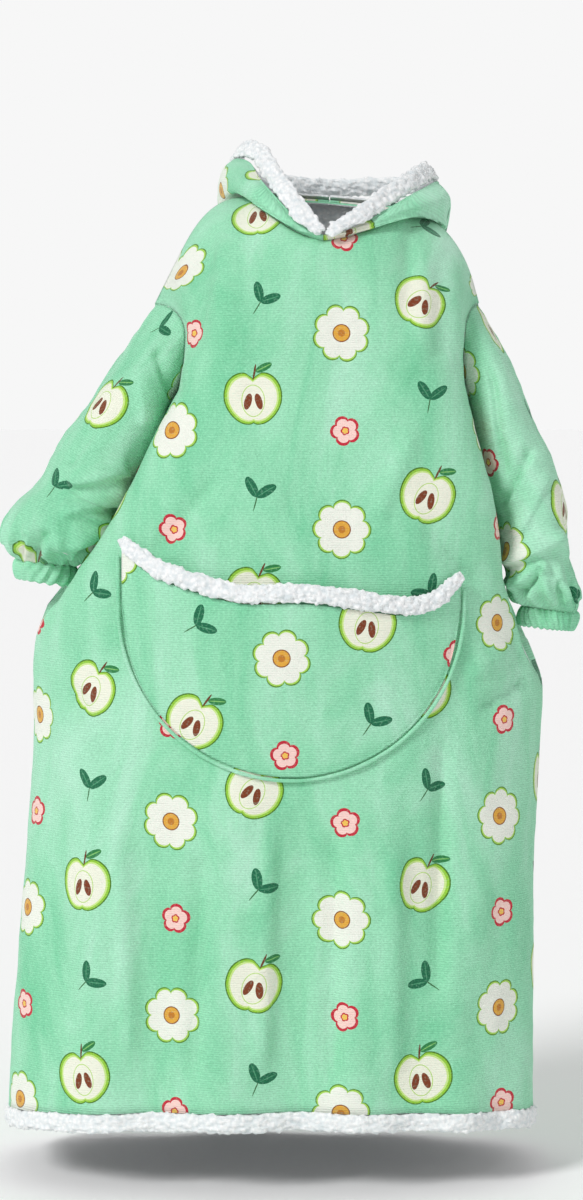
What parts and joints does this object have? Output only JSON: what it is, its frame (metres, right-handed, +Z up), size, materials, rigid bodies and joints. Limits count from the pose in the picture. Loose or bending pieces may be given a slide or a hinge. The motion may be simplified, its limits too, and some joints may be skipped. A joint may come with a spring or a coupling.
{
  "type": "wearable blanket hoodie",
  "caption": "Oversized ankle-length wearable blanket hoodie, hood down, with drop shoulders, gathered cuffs, half-round front pocket with a rolled fleece edge, and fleece trim at hood and hem.",
  "frame": {"origin": "the middle of the neck, where the wearer's neck and shoulders hold the garment", "axes": "+Z up, the front faces -Y, +X is the wearer's left and the viewer's right"},
  "size_m": [0.834, 0.4961, 1.4671],
  "materials": {
    "flannel": "soft napped pile, matte",
    "flannel_casing": "soft napped pile, matte, gathered or piped",
    "sherpa": "curly fleece pile, matte"
  },
  "bodies": {
    "root": {"front_panel": "flannel", "back_panel": "flannel", "left_sleeve": "flannel", "right_sleeve": "flannel", "hood_left": "flannel", "hood_right": "flannel", "pocket": "flannel", "left_cuff": "flannel_casing", "right_cuff": "flannel_casing", "pocket_binding": "flannel_casing", "hood_lining_left": "sherpa", "hood_lining_right": "sherpa", "hood_trim": "sherpa", "pocket_trim": "sherpa", "hem_trim_front": "sherpa", "hem_trim_back": "sherpa"}
  },
  "joints": []
}
